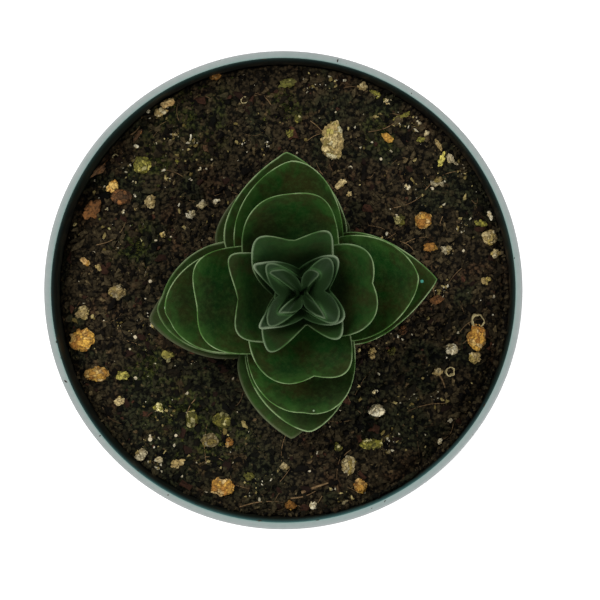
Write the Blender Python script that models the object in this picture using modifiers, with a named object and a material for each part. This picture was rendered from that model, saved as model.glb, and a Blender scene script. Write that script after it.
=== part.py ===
# A potted crassula whose leaves are stacked in crossed pairs: pot, soil, stem, leaf pairs and loose stones.
# Units are metres, +Z is up, and the pot stands on z = 0 with its axis on the origin.

import math

import bmesh
import bpy
from mathutils import Vector, noise

MM = 0.001
CLEARANCE = 0.38 * MM

# Pot: an 80 mm nursery pot
POT_HEIGHT = 70 * MM
RIM_RADIUS = 40 * MM
LIP_WIDTH = 1.4 * MM
LIP_ROUNDING = 0.3 * MM
WALL = 1.1 * MM
BAND_HEIGHT = 14 * MM
BAND_TAPER = 0.6 * MM
BAND_STEP = 1.2 * MM
FOOT_RADIUS = 28.3 * MM
FOOT_WIDTH = 1.8 * MM
FLOOR_BOTTOM = 2.0 * MM
FLOOR_THICKNESS = 1.4 * MM
ROUND_STEPS = 40
DRAIN_RADIUS = 3 * MM
DRAIN_CIRCLE = 17 * MM
DRAINS = 6
NOTCH_WIDTH = 5 * MM
NOTCH_HEIGHT = 1.2 * MM
FOOT_NOTCHES = 4

# Soil: its mean level, and how far its top rises and falls
SOIL_LEVEL = 63.5 * MM
SOIL_RINGS = (6 * MM, 11 * MM, 16 * MM, 21 * MM, 26 * MM, 30.5 * MM, 34.5 * MM)
SOIL_TILT = 0.9 * MM
SOIL_LUMPS = ((0.9 * MM, 90.0), (0.45 * MM, 260.0))

# Stem: where it leaves the soil, how far it leans over the height of the column, and its thickness
STEM_FOOT = Vector((1.6 * MM, -1.0 * MM, 0))
STEM_LEAN = Vector((1.5 * MM, 0.45 * MM, 0))
COLUMN_HEIGHT = 27 * MM
STEM_RADIUS = 2.4 * MM
STEM_TOP_RADIUS = 1.7 * MM
STEM_DEPTH = 16 * MM
STEM_TOP = 26.0 * MM
STEM_TAPER_FROM = 2 * MM
ROOT_TAPER = 4 * MM
STEM_STEPS = 12

# Leaves: the turn of the ranks, the blade's thickness, and the number of rows and columns of a blade
RANK_TURN = math.radians(5.5)
BLADE_FULL = 2.8 * MM
BLADE_BASE = 1.15 * MM
BLADE_EDGE = 0.8 * MM
BLADE_THICKENS_FROM = 10 * MM
BLADE_THICKENS_OVER = 5 * MM
STEEP_SHARE = 0.5
BLADE_ROWS = 4
BLADE_COLUMNS = 12
ROW_SPACING = 0.85
SHOULDER = 0.72
WIDEST_AT = 0.42
WIDEST_AT_YOUNG = 0.52
WAIST_BEND = 1.6
TIP_FULLNESS = 2.9
TIP_FULLNESS_LOSS = 1.3
CORNER_FULLNESS = 0.9
NOTCH_BEND = 1.3
NOTCH_BEND_YOUNG = 1.05
TROUGH = 0.7 * MM
TROUGH_FROM = 0.4
FIRST_YOUNG_PAIR = 9
FULLY_YOUNG_PAIR = 12
YOUNG_CROWN = 0.42

# One row for each pair, oldest first: its height above the soil, its rise from there to the tips, its waist
# as a share of its width, and its two leaves. Even pairs point right and left, odd ones to the back and the
# front. A leaf has its reach and width, a tip form from 0.1 for square to 1 for pointed, how far its edge
# draws in to a notch, how far its tip slants and the leaf is shifted sideways, and the notch's place aside.
PAIRS = (
    (1.6, 3.8, 0.55, (20.6, 18.2, 0.90, 0.0, -2.0, 1.6, 0.0), (20.8, 17.6, 0.90, 0.0, 0.0, -1.0, 0.0)),
    (3.6, 4.6, 0.55, (21.0, 17.4, 0.92, 0.0, -0.4, 0.4, 0.0), (24.4, 18.0, 0.79, 0.0, 0.6, 1.0, 0.0)),
    (5.6, 5.3, 0.55, (24.4, 22.6, 1.05, 2.3, -1.8, 3.2, 0.0), (25.2, 19.0, 0.94, 1.6, -0.4, -2.5, 0.0)),
    (7.7, 6.0, 0.55, (21.8, 18.6, 0.92, 0.0, -0.4, 0.8, 0.0), (23.8, 18.9, 0.69, 1.3, 2.6, -2.5, -1.9)),
    (9.8, 6.6, 0.55, (24.0, 20.4, 0.84, 0.7, -4.4, 3.7, 1.3), (22.3, 18.2, 0.68, -0.2, 1.3, -1.2, 0.0)),
    (11.9, 7.2, 0.55, (21.9, 18.5, 0.85, -1.0, -0.3, 0.6, 0.0), (22.4, 17.3, 0.61, 1.1, 1.6, -0.8, 1.6)),
    (14.0, 7.8, 0.55, (21.5, 17.9, 0.62, 0.0, -4.4, 3.2, 0.0), (20.3, 17.7, 0.51, 1.1, 2.3, -1.8, -1.3)),
    (16.1, 8.2, 0.55, (19.6, 17.1, 0.65, 0.2, 0.9, 0.0, 1.2), (17.0, 17.6, 0.27, 0.6, -1.2, 0.8, 1.0)),
    (18.2, 8.4, 0.57, (16.0, 15.7, 0.35, 0.0, -3.0, 2.7, 0.0), (15.5, 16.4, 0.39, 2.2, 4.8, -3.4, 0.6)),
    (20.2, 8.2, 0.60, (13.7, 14.7, 0.45, 2.0, 1.5, -0.8, 0.1), (11.3, 14.4, 0.16, 1.5, -2.2, 1.2, 0.3)),
    (22.0, 6.9, 0.65, (10.3, 13.1, 0.19, 1.9, -2.6, 2.6, -0.1), (10.0, 13.0, 0.27, 5.0, 0.2, -0.4, 0.7)),
    (24.7, 5.8, 0.72, (8.1, 11.1, 0.34, 3.6, 0.6, -0.2, 0.1), (7.9, 10.6, 0.14, 4.2, 0.7, -0.8, 0.0)),
    (25.8, 4.7, 0.66, (7.4, 10.8, 0.42, 5.0, 1.6, -1.0, 0.0), (6.6, 11.6, 0.34, 4.3, -0.8, 0.3, -0.3)),
    (26.7, 3.6, 0.34, (3.7, 7.4, 0.16, 3.1, -2.0, 0.8, 0.2), (5.0, 7.0, 0.13, 4.4, 1.2, -1.7, 0.4)),
)
FREE_PAIRS = 11

# Loose stones on the soil: kind, place of the middle, length along X and along Y
STONES = (
    ("pumice", 8.4, 25.2, 4.2, 6.8),
    ("orange", 23.7, 11.9, 3.1, 3.1),
    ("cream", 35.0, 9.0, 2.8, 2.7),
    ("orange", -34.2, -8.4, 4.5, 4.1),
    ("cream", -28.2, -0.3, 3.1, 2.7),
    ("orange", -31.6, -14.2, 4.9, 2.7),
    ("green", -10.4, -22.0, 3.4, 2.9),
    ("cream", -12.4, -25.4, 3.1, 2.7),
    ("orange", -10.3, -33.2, 4.6, 3.4),
    ("orange", 32.8, -7.9, 3.4, 4.7),
    ("green", 14.8, -26.1, 4.2, 2.0),
    ("cream", 11.1, -29.6, 2.7, 3.4),
    ("white", 15.8, -20.3, 2.9, 2.5),
    ("green", -24.0, 21.3, 3.4, 3.1),
    ("bark", -27.4, 15.9, 3.9, 2.9),
    ("white", 28.4, -9.9, 2.5, 2.1),
    ("orange", 13.0, -33.2, 2.5, 2.5),
    ("green", -15.6, -21.8, 2.2, 3.4),
)
STONE_HEIGHT = 0.8
STONE_ROUGHNESS = 0.22
STONE_PROUD = 0.12

STONE_COLOURS = {
    "pumice": (0.46, 0.40, 0.20),
    "orange": (0.42, 0.22, 0.05),
    "cream": (0.42, 0.34, 0.20),
    "green": (0.22, 0.20, 0.04),
    "white": (0.55, 0.52, 0.42),
    "bark": (0.10, 0.06, 0.04),
}


def clear_scene():
    for obj in list(bpy.data.objects):
        bpy.data.objects.remove(obj)


def new_collection(name):
    collection = bpy.data.collections.new(name)
    bpy.context.scene.collection.children.link(collection)
    return collection


def make_material(name, colour, roughness):
    material = bpy.data.materials.new(name)
    material.use_nodes = True
    shader = material.node_tree.nodes["Principled BSDF"]
    shader.inputs["Base Color"].default_value = (*colour, 1)
    shader.inputs["Roughness"].default_value = roughness
    shader.inputs["Metallic"].default_value = 0
    material.diffuse_color = (*colour, 1)
    return material


def object_from_bmesh(name, shape, collection):
    mesh = bpy.data.meshes.new(name)
    shape.to_mesh(mesh)
    shape.free()
    obj = bpy.data.objects.new(name, mesh)
    collection.objects.link(obj)
    return obj


def apply_modifiers(obj):
    """Puts the modified shape in the object's own mesh."""
    graph = bpy.context.evaluated_depsgraph_get()
    mesh = bpy.data.meshes.new_from_object(obj.evaluated_get(graph))
    obj.modifiers.clear()
    obj.data = mesh
    return obj


def turned(name, profile, steps, collection):
    """A turned piece. The profile of (radius, height) points runs down the outer side."""
    mesh = bpy.data.meshes.new(name)
    edges = [(i, i + 1) for i in range(len(profile) - 1)]
    mesh.from_pydata([(radius, 0, height) for radius, height in profile], edges, [])
    obj = bpy.data.objects.new(name, mesh)
    collection.objects.link(obj)
    screw = obj.modifiers.new("Turn", "SCREW")
    screw.steps = steps
    screw.render_steps = steps
    screw.use_merge_vertices = True
    screw.merge_threshold = 0.00001
    return apply_modifiers(obj)


def as_cutter(obj):
    obj.hide_render = True
    obj.display_type = "WIRE"
    return obj


def cut(obj, cutter):
    boolean = obj.modifiers.new("Cut " + cutter.name, "BOOLEAN")
    boolean.operation = "DIFFERENCE"
    boolean.object = cutter


def shade_round(obj, angle=40):
    obj.data.shade_smooth()
    obj.data.set_sharp_from_angle(angle=math.radians(angle))


def pot_inside():
    """The inner wall as (radius, height), from the floor up to the lip."""
    band_bottom = POT_HEIGHT - BAND_HEIGHT
    lip_inner = RIM_RADIUS - LIP_WIDTH
    return (
        (FOOT_RADIUS - WALL - 0.8 * MM, FLOOR_BOTTOM + FLOOR_THICKNESS),
        (FOOT_RADIUS - WALL + 0.3 * MM, FLOOR_BOTTOM + FLOOR_THICKNESS + 1 * MM),
        (lip_inner - BAND_TAPER - BAND_STEP, band_bottom - 0.5 * MM),
        (lip_inner - BAND_TAPER, band_bottom + 1 * MM),
        (lip_inner - 0.1 * MM, POT_HEIGHT - LIP_ROUNDING),
    )


def inner_radius(height):
    points = pot_inside()
    for (low_radius, low), (high_radius, high) in zip(points, points[1:]):
        if height <= high:
            share = (height - low) / (high - low)
            return low_radius + share * (high_radius - low_radius)
    return points[-1][0]


def make_pot(collection, cutters):
    band_bottom = POT_HEIGHT - BAND_HEIGHT
    band_radius = RIM_RADIUS - BAND_TAPER
    profile = [
        (0, FLOOR_BOTTOM + FLOOR_THICKNESS),
        *pot_inside(),
        (RIM_RADIUS - LIP_WIDTH + LIP_ROUNDING, POT_HEIGHT),
        (RIM_RADIUS - LIP_ROUNDING, POT_HEIGHT),
        (RIM_RADIUS, POT_HEIGHT - LIP_ROUNDING),
        (band_radius, band_bottom + 0.3 * MM),
        (band_radius - 0.3 * MM, band_bottom),
        (band_radius - BAND_STEP, band_bottom - 0.4 * MM),
        (FOOT_RADIUS + 0.1 * MM, 1 * MM),
        (FOOT_RADIUS - 0.3 * MM, 0),
        (FOOT_RADIUS - FOOT_WIDTH, 0),
        (FOOT_RADIUS - FOOT_WIDTH - 0.2 * MM, FLOOR_BOTTOM),
        (0, FLOOR_BOTTOM),
    ]
    pot = turned("pot", profile, ROUND_STEPS, collection)
    pot.data.materials.append(make_material("pot_plastic", (0.33, 0.40, 0.39), 0.45))
    places = [(0, 0)]
    for i in range(DRAINS):
        angle = math.tau * (i + 0.5) / DRAINS
        places.append((DRAIN_CIRCLE * math.cos(angle), DRAIN_CIRCLE * math.sin(angle)))
    for i, (x, y) in enumerate(places):
        shape = bmesh.new()
        bmesh.ops.create_cone(
            shape, cap_ends=True, segments=20, radius1=DRAIN_RADIUS, radius2=DRAIN_RADIUS, depth=6 * MM
        )
        drain = as_cutter(object_from_bmesh(f"drain_{i}", shape, cutters))
        drain.location = (x, y, FLOOR_BOTTOM)
        cut(pot, drain)
    for i in range(FOOT_NOTCHES):
        shape = bmesh.new()
        bmesh.ops.create_cube(shape, size=1)
        size = Vector((8 * MM, NOTCH_WIDTH, 2 * NOTCH_HEIGHT))
        bmesh.ops.scale(shape, vec=size, verts=shape.verts)
        notch = as_cutter(object_from_bmesh(f"foot_notch_{i}", shape, cutters))
        angle = math.tau * (i + 0.5) / FOOT_NOTCHES
        notch.location = (FOOT_RADIUS * math.cos(angle), FOOT_RADIUS * math.sin(angle), 0)
        notch.rotation_euler.z = angle
        cut(pot, notch)
    bpy.context.view_layer.update()
    apply_modifiers(pot)
    shade_round(pot)
    return pot


def soil_height(x, y):
    """The height of the soil's top at a place. It lies higher at the back and the front."""
    distance = math.hypot(x, y)
    height = SOIL_LEVEL
    if distance > 0:
        height -= SOIL_TILT * (x * x - y * y) / distance**2 * (distance / RIM_RADIUS) ** 2
    for size, frequency in SOIL_LUMPS:
        height += size * noise.noise(Vector((x * frequency, y * frequency, size * frequency)))
    return height


def make_soil(collection, cutters):
    top = SOIL_LEVEL
    edge = inner_radius(top) - CLEARANCE - 0.1 * MM
    wall = [(radius - CLEARANCE - 0.1 * MM, height) for radius, height in pot_inside()[:-1]]
    bottom = FLOOR_BOTTOM + FLOOR_THICKNESS + CLEARANCE
    wall[0] = (wall[0][0], bottom)
    profile = [(0, top)]
    profile += [(radius, top) for radius in SOIL_RINGS]
    profile.append((edge, top))
    profile += reversed(wall)
    profile.append((0, bottom))
    soil = turned("soil", profile, ROUND_STEPS, collection)
    for vertex in soil.data.vertices:
        if vertex.co.z > top - 0.01 * MM:
            vertex.co.z = soil_height(vertex.co.x, vertex.co.y)
    soil.data.materials.append(make_material("soil", (0.03, 0.02, 0.013), 0.95))
    cut(soil, stem_cutter(cutters))
    return soil


def lean_at(height):
    """How far the plant's axis has moved sideways at a height above the soil."""
    share = min(max(height / COLUMN_HEIGHT, 0), 1.2)
    return STEM_FOOT + share * STEM_LEAN


def stem_profile(grow):
    top = SOIL_LEVEL + STEM_TOP
    return [
        (0, top + grow),
        (STEM_TOP_RADIUS + grow, top + grow),
        (STEM_RADIUS + grow, SOIL_LEVEL + STEM_TAPER_FROM),
        (STEM_RADIUS + grow, SOIL_LEVEL - STEM_DEPTH + ROOT_TAPER),
        (0.5 * STEM_RADIUS + grow, SOIL_LEVEL - STEM_DEPTH - grow),
        (0, SOIL_LEVEL - STEM_DEPTH - grow),
    ]


def make_stem(name, grow, collection):
    stem = turned(name, stem_profile(grow), STEM_STEPS, collection)
    for vertex in stem.data.vertices:
        offset = lean_at(vertex.co.z - SOIL_LEVEL)
        vertex.co.x += offset.x
        vertex.co.y += offset.y
    return stem


def stem_cutter(cutters):
    if "stem_hole" not in cutters.objects:
        as_cutter(make_stem("stem_hole", CLEARANCE, cutters))
    return cutters.objects["stem_hole"]


def between(first, last, share):
    return first + (last - first) * share


def youth(number):
    """0 for an old pair, 1 for one in the star."""
    share = (number - FIRST_YOUNG_PAIR + 1) / (FULLY_YOUNG_PAIR - FIRST_YOUNG_PAIR + 1)
    return min(max(share, 0), 1) ** 1.3


def tip_reach(leaf):
    return leaf[0] - leaf[3]


def blade_rise(number, distance, angle):
    """The rise of a pair's upper face: a bowl, with lower corners between the ranks on young pairs."""
    _, rise, _, one, other = PAIRS[number - 1]
    young = youth(number)
    reach = 0.5 * (tip_reach(one) + tip_reach(other)) * MM
    share = distance / reach
    bowl = (1 + young) * share**2 / (1 + young * share**2)
    corners = 1 - YOUNG_CROWN * young * math.sin(2 * angle) ** 2
    return rise * MM * bowl * corners


def leaf_margin(number, leaf, across):
    """The edge of a leaf as (outward, sideways), from one corner at -1 over the tip at 0 to 1."""
    _, _, waist_share, one, other = PAIRS[number - 1]
    reach, width, form, drawn_in, slant, shift, aside = leaf
    young = youth(number)
    half = 0.5 * width
    widest = between(WIDEST_AT, WIDEST_AT_YOUNG, young) * reach
    mean_width = 0.5 * (one[1] + other[1])
    waist = waist_share * 0.5 * mean_width
    fullness = between(TIP_FULLNESS - TIP_FULLNESS_LOSS * form, CORNER_FULLNESS / form, young)
    place = abs(across)
    if place <= SHOULDER:
        turn = 0.5 * math.pi * place / SHOULDER
        side = half * math.sin(turn) ** (2 * form)
        out = widest + (reach - widest) * max(math.cos(turn), 0) ** (2 / fullness)
    else:
        share = (place - SHOULDER) / (1 - SHOULDER)
        side = half - (half - waist) * share**WAIST_BEND
        out = widest * (1 - share)
    side = math.copysign(side, across)
    middle = max(0, 1 - abs(side - aside) / half)
    out -= drawn_in * middle ** between(NOTCH_BEND, NOTCH_BEND_YOUNG, young) * min(1, out / widest)
    return out * MM, (side + (slant * (out / reach) + shift) * (out / reach)) * MM


def blade_point(number, along, across):
    """A point on a pair's upper face and its distance outward, with the tips at -1 and 1 along."""
    height, _, _, one, other = PAIRS[number - 1]
    leaf = one if along >= 0 else other
    facing = 1 if along >= 0 else -1
    waist = leaf_margin(number, one, 1)[1] * across
    reach = abs(along) ** ROW_SPACING
    out, side = leaf_margin(number, leaf, across * facing)
    x = reach * out * facing
    y = (1 - reach) * waist + reach * side * facing
    distance = math.hypot(x, y)
    angle = math.atan2(y, x)
    rise = blade_rise(number, distance, angle)
    half = 0.5 * leaf[1] * MM
    beyond_base = min(1, abs(x) / (TROUGH_FROM * leaf[0] * MM))
    trough = TROUGH * (1 - youth(number)) * min(1, abs(y) / half) ** 3 * beyond_base
    turn = RANK_TURN + (0 if number % 2 == 0 else 0.5 * math.pi)
    centre = lean_at(height * MM)
    return Vector((
        centre.x + x * math.cos(turn) - y * math.sin(turn),
        centre.y + x * math.sin(turn) + y * math.cos(turn),
        SOIL_LEVEL + height * MM + rise + trough,
    )), abs(x)


def blade_thickness(number, along, distance):
    """The blade's upright thickness, fuller past the pair below, thin at the edge, more on a steep leaf."""
    share = min(max((distance - BLADE_THICKENS_FROM) / BLADE_THICKENS_OVER, 0), 1)
    body = between(BLADE_BASE, BLADE_FULL, share)
    return between(body, BLADE_EDGE, along**4) * (1 + STEEP_SHARE * youth(number))


def make_blades(name, number, collection):
    """The two joined leaves of a pair as one closed body."""
    shape = bmesh.new()
    bmesh.ops.create_grid(shape, x_segments=BLADE_COLUMNS, y_segments=2 * BLADE_ROWS, size=1)
    depth = shape.verts.layers.float.new("depth")
    for vertex in shape.verts:
        across, along = vertex.co.x, vertex.co.y
        vertex.co, distance = blade_point(number, along, across)
        vertex[depth] = blade_thickness(number, max(abs(along), abs(across) ** 3), distance)
    bmesh.ops.remove_doubles(shape, verts=shape.verts, dist=0.001 * MM)
    bmesh.ops.triangulate(shape, faces=shape.faces)
    under = bmesh.ops.extrude_face_region(shape, geom=shape.faces[:], use_keep_orig=True)
    for vertex in under["geom"]:
        if isinstance(vertex, bmesh.types.BMVert):
            vertex.co.z -= vertex[depth]
    bmesh.ops.recalc_face_normals(shape, faces=shape.faces)
    return object_from_bmesh(name, shape, collection)


def make_leaf_pair(number, collection, cutters):
    pair = make_blades(f"leaf_pair_{number:02d}", number, collection)
    cut(pair, stem_cutter(cutters))
    apply_modifiers(pair)
    pair.data.materials.append(bpy.data.materials["leaf"])
    shade_round(pair, 60)
    return pair


def keep_outer_shell(obj):
    """Fills the hollows that joining sealed, and drops loose scraps, by keeping the largest shell alone."""
    shape = bmesh.new()
    shape.from_mesh(obj.data)
    unseen = set(shape.faces)
    shells = []
    while unseen:
        shell = {unseen.pop()}
        front = list(shell)
        while front:
            face = front.pop()
            for edge in face.edges:
                for near in edge.link_faces:
                    if near in unseen:
                        unseen.remove(near)
                        shell.add(near)
                        front.append(near)
        shells.append(shell)
    largest = max(shells, key=lambda shell: sum(face.calc_area() for face in shell))
    inner = [face for face in shape.faces if face not in largest]
    bmesh.ops.delete(shape, geom=inner, context="FACES")
    shape.to_mesh(obj.data)
    shape.free()


def make_stem_and_shoot_tip(collection, cutters):
    """The stem with its youngest pairs, joined in one body."""
    stem = make_stem("stem_and_shoot_tip", 0, collection)
    young = new_collection("young_pairs")
    for number in range(FREE_PAIRS + 1, len(PAIRS) + 1):
        make_blades(f"young_pair_{number}", number, young)
    union = stem.modifiers.new("Join young pairs", "BOOLEAN")
    union.operation = "UNION"
    union.operand_type = "COLLECTION"
    union.collection = young
    union.solver = "MANIFOLD"
    apply_modifiers(stem)
    for obj in list(young.objects):
        bpy.data.objects.remove(obj)
    bpy.data.collections.remove(young)
    keep_outer_shell(stem)
    stem.data.materials.append(bpy.data.materials["leaf"])
    shade_round(stem, 60)
    return stem


def make_stone(name, index, grow, collection):
    """A rough stone, sunk in the soil to just under its widest part."""
    _, x, y, length, width = STONES[index]
    x, y = x * MM, y * MM
    size = Vector((length, width, STONE_HEIGHT * min(length, width))) * 0.5 * MM
    shape = bmesh.new()
    bmesh.ops.create_icosphere(shape, subdivisions=2, radius=1)
    for vertex in shape.verts:
        bump = 1 + STONE_ROUGHNESS * noise.noise(vertex.co * 1.3 + Vector((index * 3.7, 0, 0)))
        vertex.co = Vector((vertex.co[i] * (size[i] * bump + grow) for i in range(3)))
    stone = object_from_bmesh(name, shape, collection)
    stone.location = (x, y, soil_height(x, y) + STONE_PROUD * size.z)
    return stone


def make_stones(soil, collection, cutters):
    for kind, colour in STONE_COLOURS.items():
        make_material("stone_" + kind, colour, 0.9)
    for i in range(len(STONES)):
        stone = make_stone(f"stone_{i + 1:02d}", i, 0, collection)
        stone.data.materials.append(bpy.data.materials["stone_" + STONES[i][0]])
        seat = as_cutter(make_stone(f"seat_{i + 1:02d}", i, CLEARANCE, cutters))
        cut(soil, seat)
    bpy.context.view_layer.update()
    apply_modifiers(soil)


def main():
    clear_scene()
    collection = new_collection("potted_crassula")
    cutters = new_collection("cutters")
    cutters.hide_render = True
    make_material("leaf", (0.012, 0.035, 0.010), 0.5)
    make_pot(collection, cutters)
    soil = make_soil(collection, cutters)
    make_stones(soil, collection, cutters)
    for number in range(1, FREE_PAIRS + 1):
        make_leaf_pair(number, collection, cutters)
    make_stem_and_shoot_tip(collection, cutters)


main()
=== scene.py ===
import math
import random

import bpy
from mathutils import Euler, Matrix, Vector, geometry, kdtree, noise


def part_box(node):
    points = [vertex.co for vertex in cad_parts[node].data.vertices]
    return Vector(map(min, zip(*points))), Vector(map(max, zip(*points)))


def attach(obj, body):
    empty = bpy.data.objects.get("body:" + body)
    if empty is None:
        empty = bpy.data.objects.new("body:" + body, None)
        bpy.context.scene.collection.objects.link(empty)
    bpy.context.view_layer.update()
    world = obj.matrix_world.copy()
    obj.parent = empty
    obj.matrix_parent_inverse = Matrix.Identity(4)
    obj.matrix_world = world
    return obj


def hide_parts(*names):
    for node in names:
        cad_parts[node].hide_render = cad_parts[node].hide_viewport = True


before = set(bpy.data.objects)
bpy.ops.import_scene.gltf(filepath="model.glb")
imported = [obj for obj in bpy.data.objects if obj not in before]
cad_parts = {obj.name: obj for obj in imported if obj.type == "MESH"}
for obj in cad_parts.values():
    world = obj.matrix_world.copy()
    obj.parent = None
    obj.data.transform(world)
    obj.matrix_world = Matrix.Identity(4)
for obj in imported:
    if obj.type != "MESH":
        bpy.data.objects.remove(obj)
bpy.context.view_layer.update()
noise.seed_set(3)  # noise_vector would otherwise start from the clock
mm = 0.001
lightLevel = 0.80  # how bright a white face turned up comes out, which the colours below allow for


# Small helpers for picking, editing and finishing pieces

def pickOnly(*pieces):
    bpy.ops.object.select_all(action="DESELECT")
    for piece in pieces:
        piece.select_set(True)
    bpy.context.view_layer.objects.active = pieces[-1]


def startEdit(piece, kind="VERT", action="DESELECT"):
    pickOnly(piece)
    bpy.ops.object.mode_set(mode="EDIT")
    bpy.ops.mesh.select_mode(type=kind)
    bpy.ops.mesh.select_all(action=action)


def endEdit():
    bpy.ops.object.mode_set(mode="OBJECT")


def settle(piece):
    pickOnly(piece)
    bpy.ops.object.transform_apply(location=True, rotation=True, scale=True)


def applyModifiers(piece):
    pickOnly(piece)
    for modifier in list(piece.modifiers):
        bpy.ops.object.modifier_apply(modifier=modifier.name)


def closeSeams(piece, gap=0.002 * mm):
    startEdit(piece, action="SELECT")
    bpy.ops.mesh.remove_doubles(threshold=gap)
    bpy.ops.mesh.normals_make_consistent(inside=False)
    endEdit()


def smooth(piece, angle):
    pickOnly(piece)
    bpy.ops.object.shade_smooth_by_angle(angle=math.radians(angle))


def joined(name, pieces):
    pickOnly(*pieces)
    if len(pieces) > 1:
        bpy.ops.object.join()
    whole = bpy.context.object
    whole.name = name
    return whole


def newPiece(name, data):
    piece = bpy.data.objects.new(name, data)
    bpy.context.scene.collection.objects.link(piece)
    return piece


def dress(piece, *materials):
    piece.data.materials.clear()
    for material in materials:
        piece.data.materials.append(material)


def setField(piece, name, values):
    # values for each vertex, or one for all of them
    if not isinstance(values, list):
        values = [values] * len(piece.data.vertices)
    field = piece.data.attributes.get(name) or piece.data.attributes.new(name, "FLOAT", "POINT")
    field.data.foreach_set("value", values)


def finishPiece(piece, slot, *nodes):
    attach(piece, "root")
    if nodes:
        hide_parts(*nodes)


def between(first, last, share):
    return first + (last - first) * share


def held(value, low=0.0, high=1.0):
    return min(max(value, low), high)


def around(turn, radius):
    return radius * math.cos(turn), radius * math.sin(turn)


# Small helpers for node trees

def paint(red, green, blue):
    # a colour as it looks in the picture, 0 to 255, made into the paint that gives it under these lamps
    parts = []
    for part in (red, green, blue):
        share = part / 255
        linear = share / 12.92 if share <= 0.04045 else ((share + 0.055) / 1.055) ** 2.4
        parts.append(min(linear / lightLevel, 0.95))
    return (*parts, 1)


def plug(socket, value):
    if isinstance(value, bpy.types.NodeSocket):
        socket.id_data.links.new(value, socket)
    else:
        socket.default_value = value


def add(kind, inputs, tree=None, **settings):
    # a new node in this tree, or in that of the sockets among its inputs, which go by number or name
    for value in inputs.values():
        if isinstance(value, bpy.types.NodeSocket):
            tree = value.id_data
    made = tree.nodes.new("ShaderNode" + kind)
    for name, value in settings.items():
        setattr(made, name, value)
    for key, value in inputs.items():
        plug(made.inputs[key], value)
    return made


def cloud(spot, scale, detail=3.0, roughness=0.5, distortion=0.0):
    inputs = {"Vector": spot, "Scale": scale, "Detail": detail, "Roughness": roughness}
    return add("TexNoise", {**inputs, "Distortion": distortion}).outputs[0]


def cells(spot, scale):
    return add("TexVoronoi", {"Vector": spot, "Scale": scale}).outputs


def span(value, low, high, toLow=0.0, toHigh=1.0):
    inputs = dict(enumerate((value, low, high, toLow, toHigh)))
    return add("MapRange", inputs, interpolation_type="SMOOTHSTEP").outputs[0]


def calc(operation, first, second=0.0):
    return add("Math", {0: first, 1: second}, operation=operation).outputs[0]


def times(first, *others):
    for other in others:
        first = calc("MULTIPLY", first, other)
    return first


def mixed(share, first, second):
    # a colour given as three numbers is one of the picture
    first, second = (paint(*part) if isinstance(part, tuple) else part for part in (first, second))
    return add("Mix", {0: share, 6: first, 7: second}, data_type="RGBA").outputs[2]


def layered(base, *layers):
    # lays each colour over the base as far as its mask says
    for share, colour in layers:
        base = mixed(share, base, colour)
    return base


def readField(spot, name):
    # a field of the mesh, as it is at this spot
    return add("Attribute", {}, spot.id_data, attribute_name=name).outputs["Fac"]


def axes(spot):
    return add("SeparateXYZ", {0: spot}).outputs


def radiusOf(spot, centre=(0, 0)):
    # the distance from an upright line, measured level; its place is in millimetres
    shift = (-centre[0] * mm, -centre[1] * mm, 0)
    flat = add("VectorMath", {0: spot, 1: (1, 1, 0), 2: shift}, operation="MULTIPLY_ADD")
    return add("VectorMath", {0: flat.outputs[0]}, operation="LENGTH").outputs["Value"]


def newMaterial(name, roughness, specular):
    # gives the material, the inputs of its skin and where each spot of it lies
    material = bpy.data.materials.new(name)
    material.use_nodes = True
    skin = material.node_tree.nodes["Principled BSDF"].inputs
    skin["Roughness"].default_value = roughness
    skin["Specular IOR Level"].default_value = specular
    return material, skin, add("TexCoord", {}, material.node_tree).outputs["Object"]


def coat(skin, colour, relief, depth, strength):
    # gives a skin its colour and bumps of this depth in millimetres
    made = add("Bump", {"Height": relief, "Distance": depth * mm, "Strength": strength})
    plug(skin["Base Color"], colour)
    plug(skin["Normal"], made.outputs["Normal"])


def newGroup(name, inputs, outputs):
    group = bpy.data.node_groups.new(name, "ShaderNodeTree")
    for label, value in inputs.items():
        kind = "NodeSocketVector" if value is None else "NodeSocketFloat"
        socket = group.interface.new_socket(name=label, in_out="INPUT", socket_type=kind)
        if value is not None:
            socket.default_value = value
    for label in outputs:
        group.interface.new_socket(name=label, in_out="OUTPUT", socket_type="NodeSocketFloat")
    start = group.nodes.new("NodeGroupInput")
    end = group.nodes.new("NodeGroupOutput")
    return group, start.outputs, end.inputs


def useGroup(group, spot, **values):
    return add("Group", {"Vector": spot, **values}, node_tree=group).outputs


# Effects that several materials share

def makeGrainGroup():
    group, start, end = newGroup("earthGrain", {"Vector": None, "Scale": 900.0}, ("Patches", "Grains"))
    spot, scale = start["Vector"], start["Scale"]
    plug(end["Patches"], cloud(spot, times(scale, 0.16), 4, 0.6))
    fine = cloud(spot, scale, 4, 0.7)
    rounds = times(cells(spot, scale)["Distance"], 0.45)
    plug(end["Grains"], calc("SUBTRACT", fine, rounds))
    return group


def makeSpeckGroup():
    group, start, end = newGroup("specks", {"Vector": None, "Scale": 1200.0, "Share": 0.05}, ("Mask",))
    found = cells(start["Vector"], start["Scale"])
    parts = add("SeparateColor", {0: found["Color"]}).outputs
    chosen = calc("LESS_THAN", parts[0], start["Share"])
    away = calc("SUBTRACT", found["Distance"], times(parts[1], 0.38))
    plug(end["Mask"], times(chosen, span(away, 0.0, 0.1, 1.0, 0.0)))
    return group


earthGrain = makeGrainGroup()
specks = makeSpeckGroup()


# Pot: a thin-walled nursery pot, pale blue-grey outside and dark inside

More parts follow.
